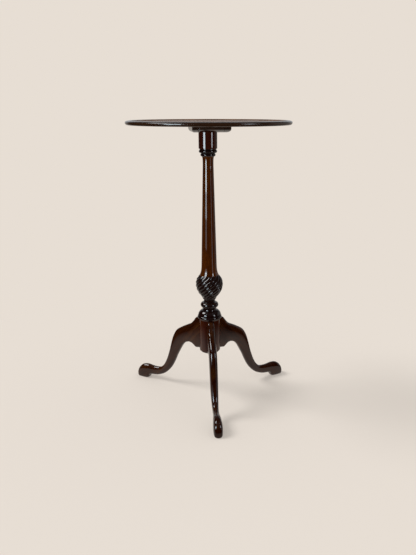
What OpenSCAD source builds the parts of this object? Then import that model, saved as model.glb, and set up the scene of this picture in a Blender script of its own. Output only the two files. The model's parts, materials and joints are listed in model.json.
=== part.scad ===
// Tilt top tripod table: a round dished top that tips up on two pins in a block,
// a turned pillar with a spiral-carved knop, and three cabriole legs dovetailed into its hub.
// Origin: on the pillar's axis at floor level. +Z is up, and the top tips towards -Y.

/* [Top] */
// Height of the rim above the floor
table_h = 739; // [715:1:765]
// Diameter of the top
top_d = 411; // [380:1:430]
// Thickness of the top at its rim
top_t = 10.5; // [9.5:0.5:12]
// Depth of the dished centre below the rim
dish_depth = 2.5; // [1.5:0.5:3]
// Width of the raised rim
rim_w = 12.5; // [12:0.5:15]

/* [Tilting block] */
// Width of the block between the bearers
block_w = 62; // [58:1:66]
// Length of the block and bearers from front to back
block_l = 104; // [98:1:110]
// Height of the bearers under the top
bearer_h = 18; // [17.5:0.5:20]
// Thickness of each bearer
bearer_w = 16; // [14:0.5:18]
// Radius of the rounded lower edges
edge_r = 9; // [8:0.5:9]
// Length of the rounding under the front end of the block and bearers
nose_l = 34; // [18:1:36]
// How far the block and the top sit to the right of the pillar's axis
block_off = 3.5; // [0:0.5:5]
// Diameter of the two pivot pins
pin_d = 6; // [5:0.5:6]
// Radial running clearance of the pins in the block
pin_clear = 0.05; // [0.02:0.01:0.1]

/* [Pillar] */
// Radius of the plain drum under the block
drum_r = 23.4; // [21:0.1:24]
// Radius of the shaft at its thin upper end
shaft_top_r = 13.7; // [12:0.1:15]
// Radius of the shaft at its thick lower end
shaft_foot_r = 20.4; // [18:0.1:21]
// Radius of the knop over its carved lobes
knop_r = 36.2; // [32:0.1:37]
// Radius of the hub that holds the legs
hub_r = 27.9; // [27.5:0.1:29]

/* [Legs] */
// Radius from the pillar's axis to the toe of each foot
leg_reach = 246; // [236:1:262]
// Thickness of each leg where it meets the hub
leg_t = 22; // [20:0.5:22]
// Turn of the tripod against the block, in degrees
leg_turn = -7; // [-8:0.5:8]
// Extra turn of the front leg, whose socket was cut by hand, in degrees
front_skew = 4.5; // [0:0.5:5]

/* [Catch] */
// Travel of the catch bolt from free to locked
bolt_travel = 8; // [6:0.5:9]
// Diameter of the catch knob
knob_d = 8; // [7:0.5:9]

/* [Hidden] */

$fn = 96;
arc_n = 8;                                  // segments in each short curve
fit_gap = 0.05;                             // glue line between fitted pieces
rest_gap = 0.3;                             // gap between pieces of different bodies
eps = 0.01;

mahogany = [0.24, 0.10, 0.06];
mahogany_dark = [0.15, 0.06, 0.04];
mahogany_top = [0.36, 0.18, 0.11];
beech = [0.70, 0.52, 0.34];
brass = [0.80, 0.62, 0.28];
steel = [0.45, 0.45, 0.47];

// Heights
under_z = table_h - top_t;                  // underside of the top
block_top = under_z - rest_gap;
block_z = under_z - bearer_h;               // underside of the block
dish_z = table_h - dish_depth;
edge_z = table_h - 4.6;                     // where the edge of the top stands out furthest

ring_z = block_z - 40;                      // lower end of the pillar's drum

// Tilt pivot: the block's upper front edge is rounded about it
pivot_r = under_z - rest_gap - (block_z + 9);
pivot_y = -block_l / 2 + pivot_r;
pivot_z = block_z + 9;
pin_in = 18;                                // length of each pin inside the block
bore_in = pin_in + 2;

// Tenon of the pillar through the block, spread by two wedges
tenon_r = 14;
kerf_x = 5.5;
kerf_depth = 15;
kerf_top = 2.6;
kerf_foot = 0.8;

// Hub, dovetail sockets and boss
hub_z = 130;                                // lower end of the hub
hub_top = 219.5;
hub_flat = 25.4;                            // radius of the flats that the legs butt against
leg_top_z = 220.6;
tail_in = 13;                               // radius of the dovetail's inner face
tail_wide = 15;
tail_neck = 11;
tail_top = 204;
boss_r = 25.5;
boss_h = 5.5;
spigot_r = 5;
spigot_h = 12;

// Bearers and their screws
bearer_x = block_w / 2 + 0.4;
screw_y = [-12, 36];
screw_sink = 5;                             // depth of the counterbore

// Wood screws: head diameter, shank diameter, length
bearer_screw = [7, 4, 18];
catch_screw = [5.2, 2.6, 7.5];
keep_screw = [4.6, 2.4, 9];

// Catch
back_y = block_l / 2;                       // rear face of the block
bolt_z = block_z + 11.5;                    // centre height of the bolt
bolt_h = 5;
bolt_w = 8;
plate_t = 1.6;
case_y = back_y + 2.5;
case_l = 35.5;
case_w = 18;
bolt_y = case_y + 0.2;                      // nose of the bolt when it is drawn back
bolt_l = 31;
slide_gap = 0.2;
knob_y = bolt_y + 19.3;
stem_r = 1.5;
keep_t = 1.2;
keep_w = 26;
keep_h = 9.6;

// ---------- helpers ----------

// Points of an arc about [cx, cy], from angle a0 to a1
function arc(cx, cy, r, a0, a1, n = arc_n) =
    [for (i = [0 : n]) let (a = a0 + (a1 - a0) * i / n) [cx + r * cos(a), cy + r * sin(a)]];

// Points of a quarter oval about [cy, cz], from its far end at -Y round to its lowest point
function nose(cy, cz, run, rise, n = arc_n) =
    [for (i = [0 : n]) let (a = 180 + 90 * i / n) [cy + run * cos(a), cz + rise * sin(a)]];

// Points of an upright half oval that bulges out from radius r to r + bulge
function bead(r, z0, z1, bulge, n = 12) =
    [for (i = [0 : n]) let (a = -90 + 180 * i / n)
        [r + bulge * cos(a), (z0 + z1) / 2 + (z1 - z0) / 2 * sin(a)]];

// Points of a cubic Bezier curve
function curve(p, n = arc_n) =
    [for (i = [0 : n]) let (t = i / n, s = 1 - t)
        s * s * s * p[0] + 3 * s * s * t * p[1] + 3 * s * t * t * p[2] + t * t * t * p[3]];

// Catmull-Rom value at fraction t between rows b and c
function blend4(a, b, c, d, t) =
    b + 0.5 * t * ((c - a) + t * ((2 * a - 5 * b + 4 * c - d) + t * (3 * (b - c) + d - a)));

// Rows of a table smoothed with n steps between each pair
function smooth(rows, n) = let (m = len(rows) - 1)
    [for (i = [0 : m * n]) let (k = min(floor(i / n), m - 1), t = i / n - k)
        blend4(rows[max(k - 1, 0)], rows[k], rows[k + 1], rows[min(k + 2, m)], t)];

// Signed power, used for rounded-rectangle sections
function spow(v, e) = sign(v) * pow(abs(v), e);

// Turn children to the azimuth of leg number i: 0 front, 1 right, 2 left
module at_leg(i) {
    rotate([0, 0, -90 + leg_turn + 120 * i + (i == 0 ? front_skew : 0)]) children();
}

// Countersunk slotted wood screw, head face at z = 0 and tip pointing to +Z
module wood_screw(size) {
    head_d = size[0];
    shank_d = size[1];
    head_h = (head_d - shank_d) / 2;
    tip_z = size[2] - shank_d;
    difference() {
        union() {
            cylinder(d1 = head_d, d2 = shank_d, h = head_h, $fn = 48);
            cylinder(d = shank_d, h = tip_z, $fn = 48);
            translate([0, 0, tip_z]) cylinder(d1 = shank_d, d2 = 0.5, h = shank_d, $fn = 48);
        }
        translate([-head_d, -head_d / 14, -eps])
            cube([2 * head_d, head_d / 7, head_h * 0.35]);
    }
}

// Hole that a wood screw fills, widened by the glue line
module screw_hole(size) {
    wide = 2 * fit_gap;
    head_h = (size[0] - size[1]) / 2;
    translate([0, 0, -eps])
        cylinder(d1 = size[0] + wide, d2 = size[1] + wide, h = head_h + eps, $fn = 48);
    cylinder(d = size[1] + wide, h = size[2] + 0.5, $fn = 48);
}

// ---------- pillar ----------

// Outline of the turned pillar above the hub's lower end, as [radius, height]
function column_outline() = concat(
    [[0, hub_z], [hub_r, hub_z], [hub_r, hub_top]],
    // quirk under the collar, then the collar's roll, a groove and the rounded shoulder
    curve([[hub_r, hub_top], [hub_r, hub_top + 1], [hub_r + 0.3, hub_top + 1.6], [hub_r + 0.8, hub_top + 2]]),
    bead(hub_r + 0.5, 221.7, 231.4, 4.2),
    [[hub_r + 2.2, 232]],
    curve([[30.4, 232.5], [30.2, 238], [25, 244.6], [18.6, 246]], 10),
    [[17.9, 247.4], [17.6, 249], [17.6, 251.8]],
    // bead between two necks
    bead(16.9, 252.4, 267.2, 7),
    [[15.1, 268], [15.1, 273.6]],
    // knop: flared foot, full belly and shoulder
    curve([[15.1, 273.8], [15.6, 276], [19, 276.4], [18.8, 281]], 6),
    curve([[19.2, 281.8], [27, 290.6], [knop_r, 301], [knop_r, 318.5]], 12),
    curve([[knop_r, 318.5], [knop_r, 331.8], [29.6, 338], [24.4, 344.2]], 10),
    // sweep out of the knop into the tapered shaft
    curve([[24, 346.2], [21.4, 351.7], [shaft_foot_r + 0.1, 359], [shaft_foot_r - 0.2, 371]]),
    curve([[shaft_top_r, ring_z - 40], [shaft_top_r, ring_z - 28],
           [shaft_top_r + 0.1, ring_z - 22], [shaft_top_r + 2, ring_z - 19.2]]),
    // two small rolls and the drum
    bead(16.2, ring_z - 18.8, ring_z - 11, 2.9),
    bead(19.2, ring_z - 10.4, ring_z - 2.2, 3.9),
    [[21.2, ring_z - 1.8], [21.2, ring_z - 0.8]],
    arc(drum_r - 1, ring_z + 1, 1, -80, 0, 4),
    [[drum_r, block_z], [tenon_r - fit_gap, block_z],
     [tenon_r - fit_gap, block_top - 0.1], [0, block_top - 0.1]]
);

// Section of one saw kerf in the tenon, grown by g
module kerf_section(g) {
    top = block_top + g;
    polygon([
        [-kerf_foot / 2 - g, top - kerf_depth - 2 * g], [kerf_foot / 2 + g, top - kerf_depth - 2 * g],
        [kerf_top / 2 + g, top], [-kerf_top / 2 - g, top]
    ]);
}

// Plan of a dovetail that widens towards the pillar's axis, grown by g
module tail_plan(g, outer) {
    polygon([
        [tail_in - g, -tail_wide / 2 - g], [hub_flat, -tail_neck / 2 - g], [outer, -tail_neck / 2 - g],
        [outer, tail_neck / 2 + g], [hub_flat, tail_neck / 2 + g], [tail_in - g, tail_wide / 2 + g]
    ]);
}

module column() {
    color(mahogany)
    difference() {
        rotate_extrude($fn = 180) polygon(column_outline());
        for (i = [0 : 2]) at_leg(i) {
            translate([0, 0, hub_z - 1])
                linear_extrude(tail_top + fit_gap - hub_z + 1) tail_plan(fit_gap, hub_flat + 5);
            translate([hub_flat, -leg_t / 2 - 0.15, hub_z - 1])
                cube([10, leg_t + 0.3, leg_top_z + 0.1 - hub_z + 1]);
        }
        translate([0, 0, hub_z - 1])
            cylinder(r = spigot_r + fit_gap, h = spigot_h + 1.2);
        for (x = [-kerf_x, kerf_x])
            translate([x, tenon_r + 1, 0]) rotate([90, 0, 0])
                linear_extrude(2 * tenon_r + 2) kerf_section(fit_gap);
    }
}

module tenon_wedges() {
    color(beech)
    for (x = [-kerf_x, kerf_x])
        intersection() {
            translate([x, tenon_r, 0]) rotate([90, 0, 0])
                linear_extrude(2 * tenon_r) kerf_section(-fit_gap);
            translate([0, 0, block_z]) cylinder(r = tenon_r - 0.2, h = bearer_h);
        }
}

// Turned boss that closes the dovetail sockets from below
module hub_boss() {
    color(mahogany_dark)
    rotate_extrude()
        polygon(concat(
            [[0, hub_z - boss_h], [12, hub_z - boss_h]],
            curve([[12, hub_z - boss_h], [20, hub_z - boss_h],
                   [boss_r, hub_z - boss_h * 0.7], [boss_r, hub_z - 1]]),
            [[boss_r - 0.5, hub_z - fit_gap], [spigot_r, hub_z - fit_gap], [spigot_r, hub_z + spigot_h],
             [0, hub_z + spigot_h]]
        ));
}

// ---------- legs ----------

// Stations along a leg: upper edge [radius, height], lower edge [radius, height],
// half thickness, roundness of the upper half and of the lower half of the section
leg_stations = [
    [ 26.0, 220.6,  26.0, 130.4, 10.0, 5.0, 5.0],
    [ 34.0, 220.2,  34.0, 130.4, 10.0, 4.5, 5.0],
    [ 42.0, 216.8,  42.5, 129.8, 10.0, 4.0, 5.0],
    [ 50.0, 206.4,  49.5, 135.2, 10.0, 3.6, 5.0],
    [ 60.0, 196.8,  57.0, 140.0,  9.9, 3.4, 4.6],
    [ 73.0, 190.0,  66.5, 140.8,  9.8, 3.2, 4.2],
    [ 90.0, 181.2,  78.5, 136.2,  9.7, 3.0, 3.8],
    [108.0, 169.2,  89.8, 124.8,  9.7, 2.9, 3.5],
    [119.8, 150.0, 100.0, 107.6,  9.7, 2.8, 3.2],
    [127.8, 126.3, 109.3,  90.4,  9.6, 2.7, 3.0],
    [134.8, 101.4, 118.0,  71.2,  9.5, 2.6, 2.8],
    [144.6,  74.8, 128.5,  52.2,  9.0, 2.5, 2.6],
    [155.8,  54.2, 142.0,  35.8,  8.2, 2.4, 2.5],
    [169.0,  41.9, 158.5,  23.0,  7.4, 2.3, 2.4],
    [186.0,  38.9, 180.0,  14.6,  7.3, 2.3, 2.4],
    [201.0,  39.4, 199.0,  12.3,  8.7, 2.3, 2.6],
    [211.0,  40.7, 209.0,   9.5,  9.6, 2.3, 3.2],
    [216.5,  41.0, 213.5,   0.5, 10.1, 2.3, 4.0],
    [226.0,  39.9, 225.0,  -1.0, 10.6, 2.4, 5.0],
    [236.5,  35.9, 235.0,  -1.0, 10.6, 2.4, 5.0],
    [246.0,  26.4, 244.5,  -1.0,  9.6, 2.4, 4.5],
    [250.3,  16.0, 249.0,  -0.5,  7.4, 2.3, 3.5],
    [252.0,   7.5, 251.5,   0.5,  4.2, 2.0, 2.0]
];
leg_steps = 2;                              // rings made from each station
ring_n = 16;                                // points round each ring

function stretch(r) = hub_flat + (r - 26) * (leg_reach - hub_flat) / 226;

// One ring of points round the leg at station s, with the sole flat on the floor
function leg_ring(s) = [for (k = [0 : ring_n - 1])
    let (a = 360 * k / ring_n, e = sin(a) >= 0 ? s[5] : s[6], v = spow(sin(a), 2 / e),
         x = (s[0] + s[2]) / 2 + v * (s[0] - s[2]) / 2,
         z = (s[1] + s[3]) / 2 + v * (s[1] - s[3]) / 2)
    [stretch(x), s[4] * leg_t / 20 * spow(cos(a), 2 / e), max(z, 0)]];

module leg_blade() {
    rings = smooth(leg_stations, leg_steps);
    m = len(rings) - 1;
    polyhedron(
        points = [for (s = rings) each leg_ring(s)],
        faces = concat(
            [[for (k = [0 : ring_n - 1]) k]],
            [for (j = [0 : m - 1], k = [0 : ring_n - 1]) let (q = (k + 1) % ring_n)
                each [[j * ring_n + k, (j + 1) * ring_n + q, j * ring_n + q],
                      [j * ring_n + k, (j + 1) * ring_n + k, (j + 1) * ring_n + q]]],
            [[for (k = [0 : ring_n - 1]) m * ring_n + ring_n - 1 - k]]
        )
    );
}

// Cabriole leg with its dovetail key
module leg(i) {
    color(mahogany)
    at_leg(i) union() {
        translate([fit_gap, 0, 0]) leg_blade();
        translate([0, 0, hub_z + 1])
            linear_extrude(tail_top - hub_z - 1) tail_plan(-fit_gap, hub_flat + 3);
    }
}

module leg_front() { leg(0); }
module leg_right() { leg(1); }
module leg_left() { leg(2); }

// ---------- tilting block ----------

// Side outline of a block with rounded lower edges, as [y, z]
function side_outline(top_z, front_corner) = concat(
    nose(-block_l / 2 + nose_l, block_z + edge_r, nose_l, edge_r),
    arc(block_l / 2 - edge_r, block_z + edge_r, edge_r, 270, 360),
    [[block_l / 2, top_z]],
    front_corner
);

// Extrude a [y, z] outline along X from x0 over width w
module along_x(x0, w) {
    translate([x0, 0, 0]) rotate([90, 0, 90]) linear_extrude(w) children();
}

module tilt_block() {
    color(mahogany_dark)
    difference() {
        along_x(-block_w / 2, block_w)
            polygon(side_outline(block_top, arc(pivot_y, pivot_z, pivot_r, 90, 180, 12)));
        translate([-block_off, 0, block_z - 1]) cylinder(r = tenon_r, h = bearer_h + 2);
        for (s = [-1, 1])
            translate([s * (block_w / 2 + 1), pivot_y, pivot_z]) rotate([0, -90 * s, 0])
                cylinder(d = pin_d + 2 * pin_clear, h = bore_in + 1);
        // recess for the keep plate and mortise for the bolt
        translate([-keep_w / 2 - fit_gap, back_y - keep_t - fit_gap, bolt_z - keep_h / 2 - fit_gap])
            cube([keep_w + 2 * fit_gap, keep_t + 1, keep_h + 2 * fit_gap]);
        translate([-bolt_w / 2 - 0.6, back_y - keep_t - 7, bolt_z - bolt_h / 2 - 0.6])
            cube([bolt_w + 1.2, 8, bolt_h + 1.2]);
        keep_screw_places() screw_hole(keep_screw);
    }
}

module bearer(s) {
    mid_x = s * (bearer_x + bearer_w / 2);
    color(mahogany_dark)
    difference() {
        intersection() {
            along_x(mid_x - bearer_w / 2, bearer_w)
                polygon(side_outline(under_z, [[-block_l / 2, under_z]]));
            // front outline with the outer lower edge rounded
            translate([mid_x, block_l / 2 + 1, 0]) rotate([90, 0, 0]) linear_extrude(block_l + 2)
                scale([s, 1]) polygon(concat(
                    [[-bearer_w / 2 - 1, block_z]],
                    arc(bearer_w / 2 - edge_r, block_z + edge_r, edge_r, 270, 360),
                    [[bearer_w / 2, under_z], [-bearer_w / 2 - 1, under_z]]
                ));
        }
        translate([mid_x - bearer_w, pivot_y, pivot_z]) rotate([0, 90, 0])
            cylinder(d = pin_d + 2 * eps, h = 2 * bearer_w);
        for (y = screw_y) translate([mid_x, y, block_z]) {
            translate([0, 0, -1]) cylinder(d = 8, h = screw_sink + 1, $fn = 48);
            translate([0, 0, screw_sink]) screw_hole(bearer_screw);
        }
    }
}

module bearer_left() { bearer(-1); }
module bearer_right() { bearer(1); }

// Turned steel pins, each fast in its bearer and running in the block
module pivot_pins() {
    color(steel)
    for (s = [-1, 1])
        translate([s * (block_w / 2 - pin_in), pivot_y, pivot_z]) rotate([0, 90 * s, 0]) {
            cylinder(d1 = pin_d - 1.2, d2 = pin_d, h = 0.6);
            translate([0, 0, 0.6]) cylinder(d = pin_d, h = pin_in + 0.4 + bearer_w - 0.9);
        }
}

// Puts a screw at each bearer hole
module bearer_screw_places() {
    for (s = [-1, 1], y = screw_y)
        translate([s * (bearer_x + bearer_w / 2), y, block_z + screw_sink]) children();
}

module bearer_screws() {
    color(steel) bearer_screw_places() wood_screw(bearer_screw);
}

// ---------- top ----------

module top_board() {
    r = top_d / 2;
    color(mahogany_top)
    difference() {
        rotate_extrude($fn = 240)
            polygon(concat(
                [[0, under_z]],
                // rounded edge, fuller below, with a slow rise to the lip
                curve([[r - 5, under_z], [r - 1.8, under_z], [r, edge_z - 3.2], [r, edge_z]]),
                curve([[r, edge_z], [r, edge_z + 2.4], [r - 3.5, table_h], [r - 11.5, table_h]]),
                curve([[r - rim_w, table_h], [r - rim_w - 1.7, table_h],
                       [r - rim_w - 2.5, dish_z], [r - rim_w - 5.5, dish_z]]),
                [[0, dish_z]]
            ));
        bearer_screw_places() screw_hole(bearer_screw);
        catch_screw_places() screw_hole(catch_screw);
    }
}

// ---------- catch ----------

module catch_screw_places() {
    for (x = [-13, 13], y = [case_y + 5, case_y + 40])
        translate([x, y, under_z - plate_t]) children();
}

module catch_plate() {
    color(brass)
    difference() {
        translate([0, 0, under_z - plate_t]) linear_extrude(plate_t)
            translate([-17, case_y - 0.5]) hull()
                for (x = [3, 31], y = [3, 43]) translate([x, y]) circle(r = 3, $fn = 32);
        catch_screw_places() screw_hole(catch_screw);
    }
}

// Open-topped box that guides the bolt, slotted below for the knob's stem
module catch_case() {
    floor_z = bolt_z - bolt_h / 2 - slide_gap;
    color(brass)
    difference() {
        translate([-case_w / 2, case_y, floor_z - 1.9])
            cube([case_w, case_l, under_z - plate_t - floor_z + 1.9]);
        translate([-bolt_w / 2 - slide_gap, case_y - 1, floor_z])
            cube([bolt_w + 2 * slide_gap, case_l - 1, under_z - floor_z]);
        hull() for (y = [knob_y - bolt_travel - 0.4, knob_y + 0.4])
            translate([0, y, floor_z - 3]) cylinder(r = stem_r + 0.3, h = 4, $fn = 32);
    }
}

// Bowed strip that presses on the bolt and holds it where it is put
module friction_leaf() {
    leaf_r = 40;
    half = 8;
    belly_z = bolt_z + bolt_h / 2 + 0.15;
    color(brass)
    intersection() {
        along_x(-3, 6) translate([bolt_y + 17, belly_z + leaf_r]) difference() {
            circle(r = leaf_r, $fn = 180);
            circle(r = leaf_r - 0.4, $fn = 180);
        }
        translate([-4, bolt_y + 17 - half, belly_z - 1]) cube([8, 2 * half, 4]);
    }
}

module catch_screws() {
    color(brass) catch_screw_places() wood_screw(catch_screw);
}

// Sliding bolt with a bevelled nose, drawn back clear of the keep
module catch_bolt() {
    color(brass)
    difference() {
        along_x(-bolt_w / 2, bolt_w)
            polygon([
                [bolt_y, bolt_z + bolt_h / 2], [bolt_y, bolt_z], [bolt_y + 2.5, bolt_z - bolt_h / 2],
                [bolt_y + bolt_l, bolt_z - bolt_h / 2], [bolt_y + bolt_l, bolt_z + bolt_h / 2]
            ]);
        translate([0, knob_y, bolt_z - bolt_h]) cylinder(r = stem_r + eps, h = bolt_h + 1);
    }
}

// Turned knob whose stem is screwed into the bolt
module catch_knob() {
    r = knob_d / 2;
    low = bolt_z - 16;
    color(brass)
    translate([0, knob_y, 0]) rotate_extrude($fn = 48)
        polygon(concat(
            [[0, low]],
            arc(0, low + r, r, -80, 60, 14),
            [[stem_r, low + 2 * r], [stem_r, bolt_z + 1], [0, bolt_z + 1]]
        ));
}

module keep_screw_places() {
    for (s = [-1, 1])
        translate([s * 9.4, back_y, bolt_z]) rotate([90, 0, 0]) children();
}

module keep_plate() {
    color(brass)
    difference() {
        translate([-keep_w / 2, back_y - keep_t, bolt_z - keep_h / 2]) cube([keep_w, keep_t, keep_h]);
        translate([-bolt_w / 2 - 0.4, back_y - keep_t - 1, bolt_z - bolt_h / 2 - 0.4])
            cube([bolt_w + 0.8, keep_t + 2, bolt_h + 0.8]);
        keep_screw_places() screw_hole(keep_screw);
    }
}

module keep_screws() {
    color(brass) keep_screw_places() wood_screw(keep_screw);
}

// Puts a piece drawn about the block's middle in its place on the pillar
module on_pillar() {
    translate([block_off, 0, 0]) children();
}

// ---------- drawing ----------

column();
hub_boss();
on_pillar() tilt_block();
tenon_wedges();
leg_front();
leg_right();
leg_left();
on_pillar() top_board();
on_pillar() bearer_left();
on_pillar() bearer_right();
on_pillar() bearer_screws();
on_pillar() pivot_pins();
on_pillar() catch_plate();
on_pillar() catch_case();
on_pillar() friction_leaf();
on_pillar() catch_screws();
on_pillar() catch_bolt();
on_pillar() catch_knob();
on_pillar() keep_plate();
on_pillar() keep_screws();
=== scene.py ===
"""Looks of a tilt-top tripod table: a dished round top on a turned pillar with a spiral-carved
knop and three cabriole legs. Outlines are in millimetres and meshes in metres."""

import json
import math

import bmesh
import bpy
from mathutils import Matrix, Vector

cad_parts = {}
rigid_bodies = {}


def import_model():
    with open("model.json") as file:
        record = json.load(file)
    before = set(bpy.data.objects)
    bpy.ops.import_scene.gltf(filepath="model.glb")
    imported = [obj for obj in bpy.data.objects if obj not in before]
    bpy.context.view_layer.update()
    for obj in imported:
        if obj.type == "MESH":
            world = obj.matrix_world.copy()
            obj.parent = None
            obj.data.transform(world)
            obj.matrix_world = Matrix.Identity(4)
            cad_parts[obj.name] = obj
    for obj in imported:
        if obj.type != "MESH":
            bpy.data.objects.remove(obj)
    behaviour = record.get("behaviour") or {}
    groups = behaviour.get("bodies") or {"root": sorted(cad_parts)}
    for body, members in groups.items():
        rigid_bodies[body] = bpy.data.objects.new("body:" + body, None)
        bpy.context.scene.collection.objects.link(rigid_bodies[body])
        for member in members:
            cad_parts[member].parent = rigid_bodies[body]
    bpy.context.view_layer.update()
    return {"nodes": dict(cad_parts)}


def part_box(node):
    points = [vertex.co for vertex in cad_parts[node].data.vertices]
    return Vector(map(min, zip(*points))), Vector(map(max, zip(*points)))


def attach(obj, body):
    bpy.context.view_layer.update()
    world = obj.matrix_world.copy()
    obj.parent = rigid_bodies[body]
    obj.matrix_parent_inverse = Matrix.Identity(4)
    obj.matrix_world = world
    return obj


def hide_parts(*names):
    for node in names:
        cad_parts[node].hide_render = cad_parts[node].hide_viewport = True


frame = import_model()
MM = 0.001


# ---------- sizes, taken from the frame ----------

def box_mm(node):
    """Lowest and highest corner of a CAD node, in millimetres."""
    low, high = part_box(node)
    return low / MM, high / MM


top_low, top_high = box_mm("top_board")
block_low, block_high = box_mm("tilt_block")
column_low = box_mm("column")[0]
boss_low, boss_high = box_mm("hub_boss")
keep_low, keep_high = box_mm("keep_plate")
bolt_low, bolt_high = box_mm("catch_bolt")

block_x = (block_low.x + block_high.x) / 2   # the block and top sit off the pillar's axis
top_inset = 0.02                            # keeps the smooth rim inside the CAD's faceted one
top_r = min(top_high.x - block_x, block_x - top_low.x) - top_inset
table_h = top_high.z
under_z = top_low.z
block_z = block_low.z
drum_h = 40
ring_z = block_z - drum_h
hub_z = column_low.z
rim_w = 12.5

# Turned pillar
hub_r = 27.9
hub_top = 219.5
knop_r = 36.2
shaft_foot_r = 20.4
shaft_top_r = 13.7
drum_r = 23.4
tenon_r = 14

# Carved knop
lobes = 13
lobe_points = 18
carve_low = 280.0
carve_high = 345.5
carve_depth = 2.9
carve_twist = math.radians(158)

# Legs
leg_reach = 245.9
leg_turn = -7
front_skew = 4.5
hub_flat = 25.4
leg_t = 22
leg_slope = 48                              # slope of the grain in each leg, in degrees


# ---------- outlines ----------

def arc(cx, cy, r, start, end, n=8):
    """Points of an arc about (cx, cy), from angle start to end in degrees."""
    angles = [math.radians(start + (end - start) * i / n) for i in range(n + 1)]
    return [(cx + r * math.cos(a), cy + r * math.sin(a)) for a in angles]


def nose(cy, cz, run, rise, n=14):
    """Points of a quarter oval about (cy, cz), from its far end at -Y round to its lowest point."""
    angles = [math.radians(180 + 90 * i / n) for i in range(n + 1)]
    return [(cy + run * math.cos(a), cz + rise * math.sin(a)) for a in angles]


def bead(r, z0, z1, bulge, n=18):
    """Points of an upright half oval that bulges out from radius r to r + bulge."""
    angles = [math.radians(-90 + 180 * i / n) for i in range(n + 1)]
    return [(r + bulge * math.cos(a), (z0 + z1) / 2 + (z1 - z0) / 2 * math.sin(a)) for a in angles]


def curve(p, n=12):
    """Points of a cubic Bezier curve."""
    points = []
    for i in range(n + 1):
        t = i / n
        s = 1 - t
        weights = (s ** 3, 3 * s * s * t, 3 * s * t * t, t ** 3)
        points.append(tuple(sum(w * q[k] for w, q in zip(weights, p)) for k in (0, 1)))
    return points


def filled(outline, step):
    """The outline with points added so that none are further apart than step."""
    points = [outline[0]]
    for a, b in zip(outline, outline[1:]):
        n = max(1, math.ceil(math.dist(a, b) / step))
        points += [tuple(a[k] + (b[k] - a[k]) * i / n for k in (0, 1)) for i in range(1, n + 1)]
    return points


def column_outline():
    """Outline of the turned pillar as (radius, height), from the hub up to the tenon."""
    return (
        [(0, hub_z), (hub_r - 1, hub_z)] + arc(hub_r - 1, hub_z + 1, 1, -90, 0, 4)
        + curve([(hub_r, hub_top), (hub_r, hub_top + 1), (hub_r + 0.3, hub_top + 1.6),
                 (hub_r + 0.8, hub_top + 2)])
        + bead(hub_r + 0.5, 221.7, 231.4, 4.2)
        + [(hub_r + 2.2, 232)]
        + curve([(30.4, 232.5), (30.2, 238), (25, 244.6), (18.6, 246)], 14)
        + [(17.9, 247.4), (17.6, 249), (17.6, 251.8)]
        + bead(16.9, 252.4, 267.2, 7)
        + [(15.1, 268), (15.1, 273.6)]
        + curve([(15.1, 273.8), (15.6, 276), (19, 276.4), (18.8, 281)], 8)
        + curve([(19.2, 281.8), (27, 290.6), (knop_r, 301), (knop_r, 318.5)], 40)
        + curve([(knop_r, 318.5), (knop_r, 331.8), (29.6, 338), (24.4, 344.2)], 30)
        + curve([(24, 346.2), (21.4, 351.7), (shaft_foot_r + 0.1, 359), (shaft_foot_r - 0.2, 371)])
        + curve([(shaft_top_r, ring_z - 40), (shaft_top_r, ring_z - 28),
                 (shaft_top_r + 0.1, ring_z - 22), (shaft_top_r + 2, ring_z - 19.2)])
        + bead(16.2, ring_z - 18.8, ring_z - 11, 2.9)
        + bead(19.2, ring_z - 10.4, ring_z - 2.2, 3.9)
        + [(21.2, ring_z - 1.8), (21.2, ring_z - 0.8)]
        + arc(drum_r - 1, ring_z + 1, 1, -80, 0, 6)
        + [(drum_r, block_z), (tenon_r - 0.05, block_z), (tenon_r - 0.05, block_high.z - 0.1),
           (0, block_high.z - 0.1)]
    )


def boss_outline():
    """Outline of the turned boss under the hub."""
    r = boss_high.x
    z = boss_low.z
    height = hub_z - z
    return (
        [(0, z), (12, z)]
        + curve([(12, z), (20, z), (r, z + height * 0.3), (r, hub_z - 1)], 16)
        + [(r - 0.5, hub_z - 0.05), (0, hub_z - 0.05)]
    )


def top_outline():
    """Outline of the dished top, from the middle of its underside round to the middle of its dish."""
    dish_z = table_h - 2.5
    edge_z = table_h - 4.6
    r = top_r
    rim = r - rim_w
    return (
        [(0, under_z)]
        + curve([(r - 5, under_z), (r - 1.8, under_z), (r, edge_z - 3.2), (r, edge_z)])
        + curve([(r, edge_z), (r, edge_z + 2.4), (r - 3.5, table_h), (r - 11.5, table_h)], 20)
        + curve([(rim, table_h), (rim - 1.7, table_h), (rim - 2.5, dish_z), (rim - 5.5, dish_z)], 10)
        + [(0, dish_z)]
    )


# ---------- mesh building ----------

def finish_mesh(bm, name, sharp=35):
    """Make an object from a bmesh in millimetres, smooth except at edges sharper than the angle."""
    bmesh.ops.recalc_face_normals(bm, faces=bm.faces)
    bmesh.ops.scale(bm, vec=(MM, MM, MM), verts=bm.verts)
    mesh = bpy.data.meshes.new(name)
    bm.to_mesh(mesh)
    bm.free()
    for face in mesh.polygons:
        face.use_smooth = True
    mesh.set_sharp_from_angle(angle=math.radians(sharp))
    obj = bpy.data.objects.new(name, mesh)
    bpy.context.scene.collection.objects.link(obj)
    return obj


def bridge(bm, rings):
    """Join closed rings of vertices, one after another, with quads."""
    for a, b in zip(rings, rings[1:]):
        n = len(a)
        for k in range(n):
            q = (k + 1) % n
            bm.faces.new((a[k], a[q], b[q], b[k]))


def cap(bm, ring):
    """Close a ring with a fan about its middle."""
    middle = sum((v.co for v in ring), Vector()) / len(ring)
    hub = bm.verts.new(middle)
    for k in range(len(ring)):
        bm.faces.new((ring[k], ring[(k + 1) % len(ring)], hub))


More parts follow.
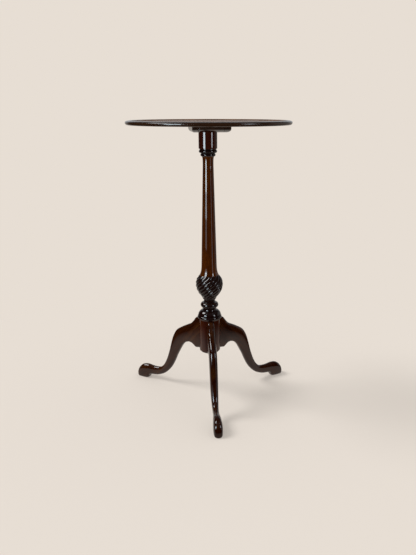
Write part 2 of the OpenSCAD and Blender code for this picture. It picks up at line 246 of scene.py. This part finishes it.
def revolve(name, outline, segments, radius=None, turn=None):
    """Turn an outline that starts and ends on the axis. radius(r, z, k) may carve point k of a ring,
    and turn(z) may twist the rings."""
    bm = bmesh.new()
    rings = []
    for r, z in outline[1:-1]:
        ring = []
        for k in range(segments):
            a = 2 * math.pi * k / segments + (turn(z) if turn else 0)
            carved = radius(r, z, k) if radius else r
            ring.append(bm.verts.new((carved * math.cos(a), carved * math.sin(a), z)))
        rings.append(ring)
    bridge(bm, rings)
    for end, ring in ((outline[0], rings[0]), (outline[-1], rings[-1])):
        hub = bm.verts.new((0, 0, end[1]))
        for k in range(segments):
            bm.faces.new((ring[k], ring[(k + 1) % segments], hub))
    return finish_mesh(bm, name)


def smoothstep(x, low, high):
    t = min(1, max(0, (x - low) / (high - low)))
    return t * t * (3 - 2 * t)


def knop_turn(z):
    """Twist of the carving at height z."""
    t = min(1, max(0, (z - carve_low) / (carve_high - carve_low)))
    return carve_twist * t


def knop_radius(r, z, k):
    """Radius after carving: rounded reeds with sharp valleys that die out at both ends of the knop."""
    if not carve_low < z < carve_high:
        return r
    fade = smoothstep(z, carve_low, carve_low + 7) * (1 - smoothstep(z, carve_high - 6.5, carve_high))
    across = 2 * (k % lobe_points) / lobe_points - 1
    return r - carve_depth * fade * abs(across) ** 2.3 * min(1, r / knop_r + 0.1)


def prism(name, outline, x0, x1, bevel):
    """A (y, z) outline drawn out along X, with its sharp edges rounded."""
    bm = bmesh.new()
    rings = [[bm.verts.new((x, y, z)) for y, z in outline] for x in (x0, x1)]
    bridge(bm, rings)
    for ring in rings:
        bm.faces.new(ring)
    bmesh.ops.recalc_face_normals(bm, faces=bm.faces)
    edges = [e for e in bm.edges if e.calc_face_angle(0) > math.radians(30)]
    bmesh.ops.bevel(bm, geom=edges, offset=bevel, segments=3, profile=0.5, affect="EDGES")
    return finish_mesh(bm, name)


def box_cutter(low, high):
    """A box between two corners, for cutting."""
    bm = bmesh.new()
    bmesh.ops.create_cube(bm, size=1)
    low, high = Vector(low), Vector(high)
    for v in bm.verts:
        v.co = low + Vector((v.co[i] + 0.5) * (high - low)[i] for i in range(3))
    return finish_mesh(bm, "cutter")


def round_cutter(centre, r, depth, sides=64):
    """An upright cylinder centred on a point, for cutting."""
    bm = bmesh.new()
    bmesh.ops.create_cone(bm, cap_ends=True, segments=sides, radius1=r, radius2=r, depth=depth)
    bmesh.ops.translate(bm, vec=centre, verts=bm.verts)
    return finish_mesh(bm, "cutter")


def cut(obj, cutters):
    """Take the cutters away from the object for good."""
    for cutter in cutters:
        modifier = obj.modifiers.new("cut", "BOOLEAN")
        modifier.operation = "DIFFERENCE"
        modifier.solver = "EXACT"
        modifier.object = cutter
    evaluated = obj.evaluated_get(bpy.context.evaluated_depsgraph_get())
    mesh = bpy.data.meshes.new_from_object(evaluated)
    obj.modifiers.clear()
    obj.data = mesh
    mesh.name = obj.name
    for cutter in cutters:
        bpy.data.objects.remove(cutter)
    mesh.set_sharp_from_angle(angle=math.radians(35))


# ---------- pillar, boss and top ----------

def make_column():
    outline = filled(column_outline(), 4)
    return revolve("pillar", outline, lobes * lobe_points, knop_radius, knop_turn)


def make_boss():
    return revolve("hub_cap", filled(boss_outline(), 2), 96)


def make_top():
    board = revolve("round_top", filled(top_outline(), 8), 256)
    board.location.x = block_x * MM
    return board


# ---------- legs ----------

# Stations along a leg: upper edge (radius, height), lower edge (radius, height), half thickness,
# roundness of the upper half and of the lower half of the section. They are drawn for a leg
# station_t thick, and are stretched to leg_t and leg_reach.
station_t = 20
leg_stations = [
    (26.0, 220.6, 26.0, 130.4, 10.0, 5.0, 5.0),
    (34.0, 220.2, 34.0, 130.4, 10.0, 4.5, 5.0),
    (42.0, 216.8, 42.5, 129.8, 10.0, 4.0, 5.0),
    (50.0, 206.4, 49.5, 135.2, 10.0, 3.6, 5.0),
    (60.0, 196.8, 57.0, 140.0, 9.9, 3.4, 4.6),
    (73.0, 190.0, 66.5, 140.8, 9.8, 3.2, 4.2),
    (90.0, 181.2, 78.5, 136.2, 9.7, 3.0, 3.8),
    (108.0, 169.2, 89.8, 124.8, 9.7, 2.9, 3.5),
    (119.8, 150.0, 100.0, 107.6, 9.7, 2.8, 3.2),
    (127.8, 126.3, 109.3, 90.4, 9.6, 2.7, 3.0),
    (134.8, 101.4, 118.0, 71.2, 9.5, 2.6, 2.8),
    (144.6, 74.8, 128.5, 52.2, 9.0, 2.5, 2.6),
    (155.8, 54.2, 142.0, 35.8, 8.2, 2.4, 2.5),
    (169.0, 41.9, 158.5, 23.0, 7.4, 2.3, 2.4),
    (186.0, 38.9, 180.0, 14.6, 7.3, 2.3, 2.4),
    (201.0, 39.4, 199.0, 12.3, 8.7, 2.3, 2.6),
    (211.0, 40.7, 209.0, 9.5, 9.6, 2.3, 3.2),
    (216.5, 41.0, 213.5, 0.5, 10.1, 2.3, 4.0),
    (226.0, 39.9, 225.0, -1.0, 10.6, 2.4, 5.0),
    (236.5, 35.9, 235.0, -1.0, 10.6, 2.4, 5.0),
    (246.0, 26.4, 244.5, -1.0, 9.6, 2.4, 4.5),
    (250.3, 16.0, 249.0, -0.5, 7.4, 2.3, 3.5),
    (252.0, 7.5, 251.5, 0.5, 4.2, 2.0, 2.0),
]


def blend4(a, b, c, d, t):
    """Catmull-Rom value at fraction t between b and c."""
    return b + 0.5 * t * ((c - a) + t * ((2 * a - 5 * b + 4 * c - d) + t * (3 * (b - c) + d - a)))


def smooth_rows(rows, n):
    """Rows of a table smoothed with n steps between each pair."""
    m = len(rows) - 1
    result = []
    for i in range(m * n + 1):
        k = min(i // n, m - 1)
        t = i / n - k
        near = (rows[max(k - 1, 0)], rows[k], rows[k + 1], rows[min(k + 2, m)])
        result.append([blend4(*values, t) for values in zip(*near)])
    return result


def signed_power(v, e):
    """The size of v raised to e, with the sign of v."""
    return math.copysign(abs(v) ** e, v)


def leg_ring(bm, s, points=56):
    """One ring of vertices round a leg, in the leg's own frame: X outwards, Z up, sole at zero."""
    upper_r, upper_z, lower_r, lower_z, half_t, upper_e, lower_e = s
    first_r = leg_stations[0][0]
    span = leg_stations[-1][0] - first_r
    ring = []
    for k in range(points):
        a = 2 * math.pi * k / points
        e = upper_e if math.sin(a) >= 0 else lower_e
        v = signed_power(math.sin(a), 2 / e)
        r = (upper_r + lower_r) / 2 + v * (upper_r - lower_r) / 2
        z = (upper_z + lower_z) / 2 + v * (upper_z - lower_z) / 2
        reach = hub_flat + (r - first_r) * (leg_reach - hub_flat) / span
        across = half_t * leg_t / station_t * signed_power(math.cos(a), 2 / e)
        ring.append(bm.verts.new((reach, across, max(z, 0))))
    return ring


def make_leg(name, azimuth):
    """A leg turned to its azimuth about the pillar's axis. The turn is in the mesh itself."""
    bm = bmesh.new()
    rings = [leg_ring(bm, s) for s in smooth_rows(leg_stations, 7)]
    bridge(bm, rings)
    cap(bm, rings[0])
    cap(bm, rings[-1])
    bmesh.ops.rotate(bm, matrix=Matrix.Rotation(math.radians(azimuth), 3, "Z"), verts=bm.verts)
    return finish_mesh(bm, name, 50)


# ---------- block and bearers ----------

edge_r = 9
nose_l = 34
rest_gap = 0.3                              # between the block and the top at rest
pivot_rise = 9                              # height of the pins above the block's lower face
pivot_z = block_z + pivot_rise
pivot_r = under_z - rest_gap - pivot_z
pivot_y = block_low.y + pivot_r


def side_outline(top_z, front_corner):
    """Side outline of the block or a bearer as (y, z), with rounded lower edges."""
    return (
        nose(block_low.y + nose_l, block_z + edge_r, nose_l, edge_r)
        + arc(block_high.y - edge_r, block_z + edge_r, edge_r, 270, 360, 10)
        + [(block_high.y, top_z)] + front_corner
    )


def make_block():
    # the arc's last point is left out: a tiny step to the nose there would bevel into a spike
    front = arc(pivot_y, pivot_z, pivot_r - 0.05, 90, 180, 12)[:-1]
    block = prism("pivot_block", side_outline(block_high.z, front), block_low.x, block_high.x, 0.5)
    mid_z = (bolt_low.z + bolt_high.z) / 2
    back = block_high.y
    half_w, half_h, depth = 4.6, 3.1, 8.2   # mortise for the bolt
    cut(block, [
        round_cutter((0, 0, (block_z + block_high.z) / 2), tenon_r, 40),
        box_cutter((keep_low.x, keep_low.y, keep_low.z), (keep_high.x, back + 1, keep_high.z)),
        box_cutter((block_x - half_w, back - depth, mid_z - half_h),
                   (block_x + half_w, back + 1, mid_z + half_h)),
    ])
    return block


def make_bearer(name, node):
    low, high = box_mm(node)
    side = 1 if low.x > 0 else -1
    outline = side_outline(under_z, [(block_low.y, under_z)])
    bm = bmesh.new()
    rings = []
    # slices across the bearer: the outer ones are drawn in to round its outer lower edge
    inner, outer = (low.x, high.x) if side > 0 else (high.x, low.x)
    steps = [(0, 0), (0.5, 0)] + [(abs(outer - inner) - edge_r + edge_r * math.sin(math.radians(a)),
                                   edge_r * (1 - math.cos(math.radians(a)))) for a in range(0, 91, 10)]
    for across, lift in steps:
        ring = []
        for y, z in outline:
            raised = z if z > block_z + edge_r else max(z, block_z + lift)
            ring.append(bm.verts.new((inner + side * across, y, min(raised, under_z))))
        rings.append(ring)
    bridge(bm, rings)
    for ring in (rings[0], rings[-1]):
        bm.faces.new(ring)
    bmesh.ops.remove_doubles(bm, verts=bm.verts, dist=0.01)
    bearer = finish_mesh(bm, name)
    middle = (low.x + high.x) / 2
    head_r, screw_places = 4, (-12, 36)
    cut(bearer, [round_cutter((middle, y, block_z), head_r, 10) for y in screw_places])
    return bearer


# ---------- materials ----------

class Nodes:
    """Short calls for building the node tree of a material or a world."""

    def __init__(self, owner, space="Object"):
        self.owner = owner
        owner.use_nodes = True
        self.tree = owner.node_tree
        self.shader = self.first("BSDF_PRINCIPLED")
        self.coords = self.tree.nodes.new("ShaderNodeTexCoord").outputs[space]
        self.pointiness = self.tree.nodes.new("ShaderNodeNewGeometry").outputs["Pointiness"]

    def first(self, kind):
        """The node of a kind that every new tree starts with, or None."""
        return next((node for node in self.tree.nodes if node.type == kind), None)

    def link(self, source, target):
        self.tree.links.new(source, target)

    def put(self, value, socket):
        """Link a socket, or set a plain value."""
        if isinstance(value, bpy.types.NodeSocket):
            self.link(value, socket)
        else:
            socket.default_value = value

    def mapped(self, scale, turn=(0, 0, 0), shift=(0, 0, 0), source=None):
        node = self.tree.nodes.new("ShaderNodeMapping")
        self.link(source or self.coords, node.inputs["Vector"])
        node.inputs["Scale"].default_value = scale
        node.inputs["Rotation"].default_value = [math.radians(a) for a in turn]
        node.inputs["Location"].default_value = shift
        return node.outputs[0]

    def noise(self, vector, scale=1.0, detail=3.0, rough=0.5, distortion=0.0):
        node = self.tree.nodes.new("ShaderNodeTexNoise")
        self.link(vector, node.inputs["Vector"])
        node.inputs["Scale"].default_value = scale
        node.inputs["Detail"].default_value = detail
        node.inputs["Roughness"].default_value = rough
        node.inputs["Distortion"].default_value = distortion
        return node.outputs["Fac"]

    def math(self, operation, a, b=0.0):
        node = self.tree.nodes.new("ShaderNodeMath")
        node.operation = operation
        self.put(a, node.inputs[0])
        self.put(b, node.inputs[1])
        return node.outputs[0]

    def range(self, value, low, high, to_low=0.0, to_high=1.0):
        """Map low..high to to_low..to_high, smoothly and within those limits."""
        node = self.tree.nodes.new("ShaderNodeMapRange")
        node.interpolation_type = "SMOOTHSTEP"
        self.put(value, node.inputs["Value"])
        limits = {"From Min": low, "From Max": high, "To Min": to_low, "To Max": to_high}
        for name, number in limits.items():
            node.inputs[name].default_value = number
        return node.outputs[0]

    def ramp(self, value, stops):
        node = self.tree.nodes.new("ShaderNodeValToRGB")
        self.link(value, node.inputs["Fac"])
        elements = node.color_ramp.elements
        while len(elements) < len(stops):
            elements.new(0.5)
        for element, (place, colour) in zip(elements, stops):
            element.position = place
            element.color = (*colour, 1)
        return node.outputs["Color"]

    def mix(self, factor, a, b):
        node = self.tree.nodes.new("ShaderNodeMix")
        node.data_type = "RGBA"
        self.put(factor, node.inputs["Factor"])
        for value, socket in ((a, node.inputs["A"]), (b, node.inputs["B"])):
            self.put((*value, 1) if isinstance(value, tuple) else value, socket)
        return node.outputs["Result"]

    def axis(self, name):
        """One of the object's own coordinates, in metres."""
        node = self.tree.nodes.new("ShaderNodeSeparateXYZ")
        self.link(self.coords, node.inputs[0])
        return node.outputs[name]

    def dot(self, vector, direction):
        """How far a vector reaches along a fixed direction."""
        node = self.tree.nodes.new("ShaderNodeVectorMath")
        node.operation = "DOT_PRODUCT"
        self.link(vector, node.inputs[0])
        node.inputs[1].default_value = direction
        return node.outputs["Value"]

    def bump(self, height, distance):
        node = self.tree.nodes.new("ShaderNodeBump")
        node.inputs["Strength"].default_value = 1.0
        node.inputs["Distance"].default_value = distance
        self.link(height, node.inputs["Height"])
        self.link(node.outputs[0], self.shader.inputs["Normal"])

    def emission(self, colour, strength):
        node = self.tree.nodes.new("ShaderNodeEmission")
        node.inputs["Color"].default_value = (*colour, 1)
        self.put(strength, node.inputs["Strength"])
        return node.outputs[0]

    def background(self, colour, strength):
        node = self.tree.nodes.new("ShaderNodeBackground")
        node.inputs["Color"].default_value = (*colour, 1)
        self.put(strength, node.inputs["Strength"])
        return node.outputs[0]

    def choose(self, factor, a, b):
        """Shader a where the factor is 0 and shader b where it is 1."""
        node = self.tree.nodes.new("ShaderNodeMixShader")
        self.put(factor, node.inputs[0])
        self.link(a, node.inputs[1])
        self.link(b, node.inputs[2])
        return node.outputs[0]

    def ray(self, kind):
        return self.tree.nodes.new("ShaderNodeLightPath").outputs[kind]


def wood(name, tones, grain, turns=(), seed=0.0, rough=(0.3, 0.45), coat=1.0,
         coat_rough=0.05, coat_ior=1.5, dark_bands=()):
    """Polished timber. tones are its dark, middle and light colours; grain is the axis along it
    once the piece has been turned; dark_bands are stretches of height with a darker stain."""
    n = Nodes(bpy.data.materials.new(name))
    colour, relief, patches = timber(n, tones, grain, turns, seed)
    colour = aged(n, colour, tones, patches, 0.35, 0.75)
    height = n.axis("Z")
    for low, high, amount, stain in dark_bands:
        inside = n.math("MULTIPLY", n.range(height, low * MM, (low + 4) * MM),
                        n.range(height, high * MM, (high + 4) * MM, 1, 0))
        colour = n.mix(n.math("MULTIPLY", inside, amount), colour, stain)
    n.link(colour, n.shader.inputs["Base Color"])
    rubbed = n.noise(n.mapped((38, 38, 38)), 1.0, 4, 0.6)
    n.link(n.range(rubbed, 0.3, 0.7, rough[0], rough[1]), n.shader.inputs["Roughness"])
    n.shader.inputs["Specular IOR Level"].default_value = 0.0   # only a coat reflects
    n.shader.inputs["Coat Weight"].default_value = coat
    n.shader.inputs["Coat Roughness"].default_value = coat_rough
    n.shader.inputs["Coat IOR"].default_value = coat_ior
    ripple = n.noise(n.mapped((140, 140, 60)), 1.0, 2, 0.5)
    n.bump(n.math("ADD", relief, n.math("MULTIPLY", ripple, 0.8)), 0.00006)
    return n.owner


def timber(n, tones, grain, turns, seed):
    """Colour of sawn timber, the height of its pores and streaks, and its large patches."""
    plank = n.coords
    for turn in turns:
        plank = n.mapped((1, 1, 1), turn, source=plank)

    def stretched(scale, lengthwise):
        sizes = [scale * (lengthwise if axis == grain else 1.0) for axis in "XYZ"]
        return n.mapped(sizes, shift=(seed, seed * 0.7, seed * 1.3), source=plank)

    figure = n.noise(stretched(46, 0.09), 1.0, 5, 0.6, 0.7)
    streaks = n.noise(stretched(420, 0.035), 1.0, 4, 0.6, 0.25)
    mottle = n.noise(stretched(30, 1.4), 1.0, 3, 0.5, 0.4)
    pores = n.noise(stretched(1500, 0.03), 1.0, 2, 0.5)
    patches = n.noise(n.mapped((9, 9, 9), shift=(seed, 1.7, seed)), 1.0, 3, 0.55)
    body = n.math("ADD", n.math("MULTIPLY", figure, 0.55), n.math("MULTIPLY", streaks, 0.25))
    body = n.math("ADD", body, n.math("MULTIPLY", mottle, 0.2))
    colour = n.ramp(body, [(0.38, tones[0]), (0.50, tones[1]), (0.62, tones[2])])
    pore_mask = n.range(pores, 0.56, 0.68)
    colour = n.mix(n.math("MULTIPLY", pore_mask, 0.55), colour, tuple(c * 0.35 for c in tones[0]))
    colour = n.mix(n.range(patches, 0.42, 0.68, 0, 0.45), colour, tones[0])
    relief = n.math("SUBTRACT", n.math("MULTIPLY", streaks, 0.5), n.math("MULTIPLY", pore_mask, 0.6))
    return colour, relief, patches


def aged(n, colour, tones, patches, wear, hollow_darkening):
    """The colour rubbed pale on proud edges and darkened in hollows."""
    worn = n.math("MULTIPLY", n.range(n.pointiness, 0.515, 0.58), n.range(patches, 0.35, 0.6, 0.3, 1))
    colour = n.mix(n.math("MULTIPLY", worn, wear), colour, tuple(min(1, c * 1.7) for c in tones[2]))
    # darker towards near black where the surface curves inwards
    return n.mix(n.range(n.pointiness, 0.49, 0.42, 0, hollow_darkening), colour, near_black)


def top_finish(name):
    """The round top: brown and rubbed in the dish, its light brown partly painted sheen; nearly black and
    glossy on the rim, the black being painted shade; dry below.
    """
    n = Nodes(bpy.data.materials.new(name))
    colour, relief, patches = timber(n, top_tones_with_sheen, "X", (), 4.0)
    colour = aged(n, colour, top_tones_with_sheen, patches, 0.4, 0.6)
    squares = n.math("ADD", n.math("POWER", n.axis("X"), 2.0), n.math("POWER", n.axis("Y"), 2.0))
    radius = n.math("SQRT", squares)
    smudged = n.math("ADD", radius, n.math("MULTIPLY", n.math("SUBTRACT", patches, 0.5), 0.012))
    rim = n.range(smudged, (top_r - rim_w - 5) * MM, (top_r - rim_w + 4) * MM)
    below = n.range(n.axis("Z"), (under_z + 0.1) * MM, (under_z + 0.6) * MM, 1, 0)
    rim = n.math("MULTIPLY", rim, n.math("SUBTRACT", 1.0, below))
    # painted shade: the raised rim, the same board as the dish, is coloured nearly black
    colour = n.mix(n.math("MULTIPLY", rim, 0.95), colour, (0.009, 0.003, 0.0015))
    colour = n.mix(n.math("MULTIPLY", below, 0.75), colour, (0.060, 0.030, 0.015))
    n.link(colour, n.shader.inputs["Base Color"])
    rubbed = n.noise(n.mapped((30, 30, 30)), 1.0, 4, 0.6)
    rough = n.range(rubbed, 0.3, 0.7, 0.36, 0.50)
    rough = n.math("SUBTRACT", rough, n.math("MULTIPLY", rim, 0.30))
    n.link(n.math("ADD", rough, n.math("MULTIPLY", below, 0.25)), n.shader.inputs["Roughness"])
    n.shader.inputs["Specular IOR Level"].default_value = 0.5
    n.bump(relief, 0.00006)
    return n.owner


def aged_metal(name, bright, dull, dark, rough, scale=240):
    """Old brass or iron: dulled in patches, dark in its corners and rubbed bright on its edges."""
    n = Nodes(bpy.data.materials.new(name))
    patches = n.noise(n.mapped((scale, scale, scale)), 1.0, 4, 0.6, 0.3)
    scratches = n.noise(n.mapped((scale * 12, scale * 0.8, scale * 4)), 1.0, 2, 0.5)
    colour = n.mix(n.range(patches, 0.35, 0.65), bright, dull)
    colour = n.mix(n.range(n.pointiness, 0.495, 0.44, 0, 0.8), colour, dark)
    colour = n.mix(n.range(n.pointiness, 0.52, 0.6, 0, 0.7), colour, tuple(min(1, c * 1.3) for c in bright))
    n.link(colour, n.shader.inputs["Base Color"])
    n.shader.inputs["Metallic"].default_value = 1.0
    n.link(n.range(n.math("ADD", n.math("MULTIPLY", patches, 0.7), n.math("MULTIPLY", scratches, 0.3)),
                   0.3, 0.7, rough[0], rough[1]), n.shader.inputs["Roughness"])
    n.bump(n.math("ADD", patches, n.math("MULTIPLY", scratches, 0.4)), 0.00006)
    return n.owner


# near black, for dark bands on the pillar and for darkening in hollows
near_black = (0.0042, 0.0018, 0.0020)
red_stain = (0.0165, 0.0020, 0.0020)
pillar_tones = ((0.020, 0.0040, 0.0006), (0.043, 0.0095, 0.0008), (0.070, 0.0200, 0.0016))
leg_tones = ((0.011, 0.0020, 0.0006), (0.022, 0.0048, 0.0011), (0.038, 0.0115, 0.0028))
# painted shade: a darker, redder copy of the leg timber for the front leg
front_leg_shaded_tones = ((0.0075, 0.0012, 0.0004), (0.0155, 0.0030, 0.0007), (0.0330, 0.0105, 0.0022))
block_tones = ((0.006, 0.003, 0.002), (0.014, 0.006, 0.0035), (0.026, 0.011, 0.006))
# the top's tones: the wood's colour lightened with painted sheen, as of a pale backdrop seen at a grazing
# angle
top_tones_with_sheen = ((0.100, 0.042, 0.016), (0.180, 0.080, 0.032), (0.260, 0.120, 0.052))
beech_tones = ((0.30, 0.18, 0.09), (0.42, 0.27, 0.14), (0.52, 0.36, 0.20))

pillar_wood = wood("pillar_mahogany", pillar_tones, "Z", seed=2.0,
                   dark_bands=((hub_z - 9, 219, 0.65, red_stain), (219, 264, 0.92, near_black),
                               (264, 341, 0.9, near_black), (ring_z - 21, ring_z - 2, 0.97, near_black),
                               (ring_z - 2, table_h, 0.75, red_stain)))
boss_wood = wood("boss_mahogany", block_tones, "Z", seed=6.0, coat=0.7, coat_rough=0.12)
top_wood = top_finish("top_mahogany")
block_wood = wood("block_mahogany", block_tones, "Y", seed=7.5, rough=(0.4, 0.55), coat_rough=0.08,
                  coat_ior=1.9)
wedge_wood = wood("wedge_beech", beech_tones, "Z", seed=9.0, rough=(0.55, 0.7), coat=0.0)
brass = aged_metal("aged_brass", (0.62, 0.42, 0.15), (0.38, 0.25, 0.10), (0.05, 0.03, 0.012), (0.22, 0.48))
iron = aged_metal("dark_iron", (0.32, 0.31, 0.30), (0.14, 0.12, 0.11), (0.03, 0.02, 0.015), (0.3, 0.6))


def place(obj, material, body, slot, *nodes):
    """Give a piece its material, the body it rides on, and the CAD nodes that it stands for."""
    obj.data.materials.clear()
    obj.data.materials.append(material)
    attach(obj, body)
    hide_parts(*nodes)


place(make_column(), pillar_wood, "stand", "pillar_wood", "column")
place(make_boss(), boss_wood, "stand", "dark_wood", "hub_boss")
place(make_top(), top_wood, "top", "top_wood", "top_board")
place(make_block(), block_wood, "stand", "dark_wood", "tilt_block")
for side in ("left", "right"):
    place(make_bearer("bearer_batten_" + side, "bearer_" + side), block_wood, "top", "dark_wood",
          "bearer_" + side)
for i, where in enumerate(("front", "right", "left")):
    azimuth = -90 + leg_turn + 120 * i + (front_skew if where == "front" else 0)
    # the front leg takes the darker copy of the timber, painted shade
    tones = front_leg_shaded_tones if where == "front" else leg_tones
    turns = ((0, 0, -azimuth), (0, -leg_slope, 0))
    leg_wood = wood("leg_mahogany_" + where, tones, "X", turns, seed=11.0 + 3 * i,
                    rough=(0.32, 0.48), coat_rough=0.06)
    place(make_leg("cabriole_leg_" + where, azimuth), leg_wood, "stand", "leg_wood", "leg_" + where)

metals = {
    "catch_plate": brass, "catch_case": brass, "friction_leaf": brass, "catch_screws": brass,
    "catch_bolt": brass, "catch_knob": brass, "keep_plate": brass, "keep_screws": brass,
    "bearer_screws": iron, "pivot_pins": iron, "tenon_wedges": wedge_wood,
}
for node, material in metals.items():
    for slot in frame["nodes"][node].material_slots:
        slot.material = material


# ---------- camera ----------

view_turn = math.radians(-7)                # the table stands turned a little to the viewer
view_distance = 1.4915
eye_height = 0.7655
view_pitch = 16.113
view_yaw = 2.08

camera_data = bpy.data.cameras.new("camera")
camera_data.lens = 37.82
camera_data.sensor_width = 36
camera_data.shift_x = -0.0389
camera_data.dof.use_dof = False
camera = bpy.data.objects.new("camera", camera_data)
camera.location = (view_distance * math.sin(view_turn), -view_distance * math.cos(view_turn), eye_height)
camera.rotation_euler = (math.radians(90 - view_pitch), 0, view_turn - math.radians(view_yaw))
bpy.context.scene.collection.objects.link(camera)
bpy.context.scene.camera = camera
bpy.context.scene.view_settings.view_transform = "Standard"


# ---------- studio ----------

cream = (0.80, 0.73, 0.657)                 # backdrop and floor
pieces = bpy.data.collections.new("table")
ahead = Vector((-math.sin(view_turn), math.cos(view_turn), 0))     # away from the viewer, level
aside = Vector((math.cos(view_turn), math.sin(view_turn), 0))      # to the viewer's right
wall_side = 0.9 * aside + 0.43 * ahead                            # towards a pale wall


def panel(name, angle, distance, width, low, high, radiance, colour):
    """An upright lamp panel that lights the table only; angle is from the viewer towards the right."""
    data = bpy.data.lights.new(name, "AREA")
    data.shape = "RECTANGLE"
    data.size = width
    data.size_y = high - low
    data.energy = radiance * math.pi * width * (high - low)
    data.color = colour
    lamp = bpy.data.objects.new(name, data)
    around = view_turn + math.radians(angle)
    lamp.location = (distance * math.sin(around), -distance * math.cos(around), (low + high) / 2)
    lamp.rotation_euler = (math.radians(90), 0, around)
    lamp.visible_camera = False
    bpy.context.scene.collection.objects.link(lamp)
    lamp.light_linking.receiver_collection = pieces


window_light = (0.78, 0.92, 1.0)
side_light = (0.86, 0.92, 1.0)
panel("key_top", -45, 1.15, 0.22, 1.45, 2.00, 4.5, window_light)
panel("key_high", -45, 1.15, 0.46, 0.46, 0.80, 16.0, window_light)
panel("key_middle", -45, 1.15, 0.46, 0.34, 0.46, 7.0, window_light)
panel("key_low", -45, 1.15, 0.46, 0.20, 0.34, 1.5, window_light)
panel("fill", 51, 1.25, 0.30, 0.56, 1.00, 8.0, side_light)
panel("fill_top", 51, 1.25, 0.16, 1.55, 2.10, 2.0, side_light)
panel("fill_low", 51, 1.25, 0.30, 0.05, 0.54, 1.0, side_light)


def make_sun():
    """A broad soft lamp from the left and a little behind, for the shadows on the floor."""
    data = bpy.data.lights.new("left_lamp", "SUN")
    data.energy = 1.6
    data.angle = math.radians(25)
    lamp = bpy.data.objects.new("left_lamp", data)
    travel = 152 * aside - 22 * ahead - 170 * Vector((0, 0, 1))
    lamp.rotation_mode = "QUATERNION"
    lamp.rotation_quaternion = travel.to_track_quat("-Z", "Y")
    bpy.context.scene.collection.objects.link(lamp)


def studio_world():
    """Cream backdrop for the viewer, an even dome for lighting, and in reflections a dark studio
    that is bright only far behind the table."""
    n = Nodes(bpy.data.worlds.new("studio"), "Generated")
    backdrop = n.range(n.dot(n.coords, ahead), 0.72, 0.95, 0, 0.6)
    right_wall = n.range(n.dot(n.coords, wall_side), 0.78, 0.97, 0, 0.45)
    overhead = n.range(n.axis("Z"), 0.35, 0.9, 0, 0.08)
    mirror = n.background((0.95, 0.97, 1.0), n.math("ADD", n.math("ADD", backdrop, right_wall), overhead))
    dome = n.background((1.0, 1.0, 1.0), 0.60)
    lighting = n.choose(n.ray("Is Glossy Ray"), dome, mirror)
    final = n.choose(n.ray("Is Camera Ray"), lighting, n.background(cream, 1.0))
    n.link(final, n.first("OUTPUT_WORLD").inputs["Surface"])
    bpy.context.scene.world = n.owner


def make_floor():
    """A wide pale floor that takes the table's shadow and runs out into the backdrop's colour.
    In reflections it is dark towards the viewer and bright behind the table."""
    bm = bmesh.new()
    bmesh.ops.create_grid(bm, x_segments=24, y_segments=24, size=30000)
    floor = finish_mesh(bm, "floor")
    floor.location.z = -0.0002
    n = Nodes(bpy.data.materials.new("pale_floor"))
    n.shader.inputs["Base Color"].default_value = (0.83, 0.757, 0.682, 1)
    n.shader.inputs["Roughness"].default_value = 0.9
    n.shader.inputs["Specular IOR Level"].default_value = 0.0
    squares = n.math("ADD", n.math("POWER", n.axis("X"), 2.0), n.math("POWER", n.axis("Y"), 2.0))
    flat = n.math("SQRT", squares)
    seen = n.choose(n.range(flat, 0.42, 1.0, 0.35, 1), n.shader.outputs[0], n.emission(cream, 1.0))
    away = n.dot(n.coords, ahead)
    near = n.math("MULTIPLY", n.range(away, -0.45, -0.12, 0.03, 0.75), n.range(flat, 0.34, 0.60, 1, 0))
    heading = n.math("DIVIDE", away, flat)
    ring = n.math("MULTIPLY", n.range(flat, 0.34, 0.47), n.range(flat, 0.6, 0.9, 1, 0))
    rear = n.math("MULTIPLY", n.range(heading, 0.50, 0.70, 0, 0.75), ring)
    behind = n.range(heading, 0.72, 0.95, 0, 0.6)
    beside = n.range(n.math("DIVIDE", n.dot(n.coords, wall_side), flat), 0.78, 0.97, 0, 0.3)
    far = n.math("MULTIPLY", n.math("ADD", behind, beside), n.range(flat, 0.6, 0.9))
    mirror = n.emission(cream, n.math("ADD", n.math("ADD", near, rear), far))
    final = n.choose(n.ray("Is Glossy Ray"), seen, mirror)
    n.link(final, n.first("OUTPUT_MATERIAL").inputs["Surface"])
    floor.data.materials.append(n.owner)
    return floor


make_sun()
studio_world()
floor = make_floor()
for obj in bpy.context.scene.collection.all_objects:
    if obj.type == "MESH" and obj != floor:
        pieces.objects.link(obj)
